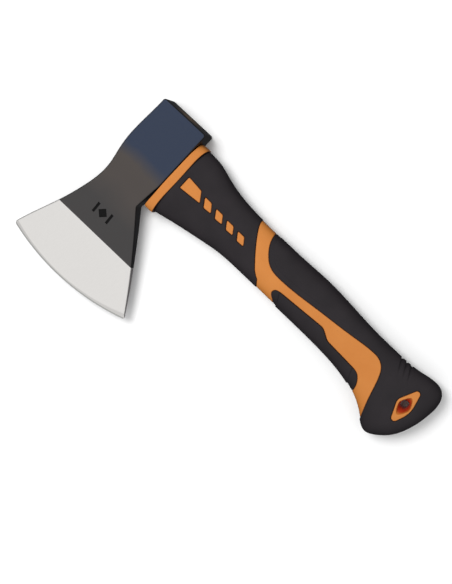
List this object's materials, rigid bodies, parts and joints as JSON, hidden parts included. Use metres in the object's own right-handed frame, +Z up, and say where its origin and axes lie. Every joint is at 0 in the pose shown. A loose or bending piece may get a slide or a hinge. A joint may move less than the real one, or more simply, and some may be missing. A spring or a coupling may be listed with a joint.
{
  "type": "camping axe",
  "caption": "One-hand axe with a forged, black-painted head and bare ground bit on a fibreglass-cored plastic handle with soft rubber grips and a lanyard hole.",
  "frame": {"origin": "under the middle of the bounding box, on the surface the axe lies on", "axes": "+X along the handle from the head towards the butt, +Y towards the hammer face (the cutting edge faces -Y), +Z up through the thickness"},
  "size_m": [0.2922, 0.1412, 0.0225],
  "materials": {
    "painted_steel": "semi-gloss black paint with a bare satin-ground bit",
    "orange_plastic": "fine satin moulded plastic",
    "black_rubber": "soft matt moulded rubber",
    "fibreglass": "pultruded fibreglass bar",
    "epoxy": "cast epoxy",
    "seal_rubber": "moulded rubber ring"
  },
  "bodies": {
    "root": {"axe_head": "painted_steel", "fibreglass_core": "fibreglass", "eye_resin": "epoxy", "eye_seal": "seal_rubber", "handle_jacket": "orange_plastic", "upper_sleeve": "black_rubber", "rear_grip": "black_rubber", "front_grip": "black_rubber"}
  },
  "joints": []
}
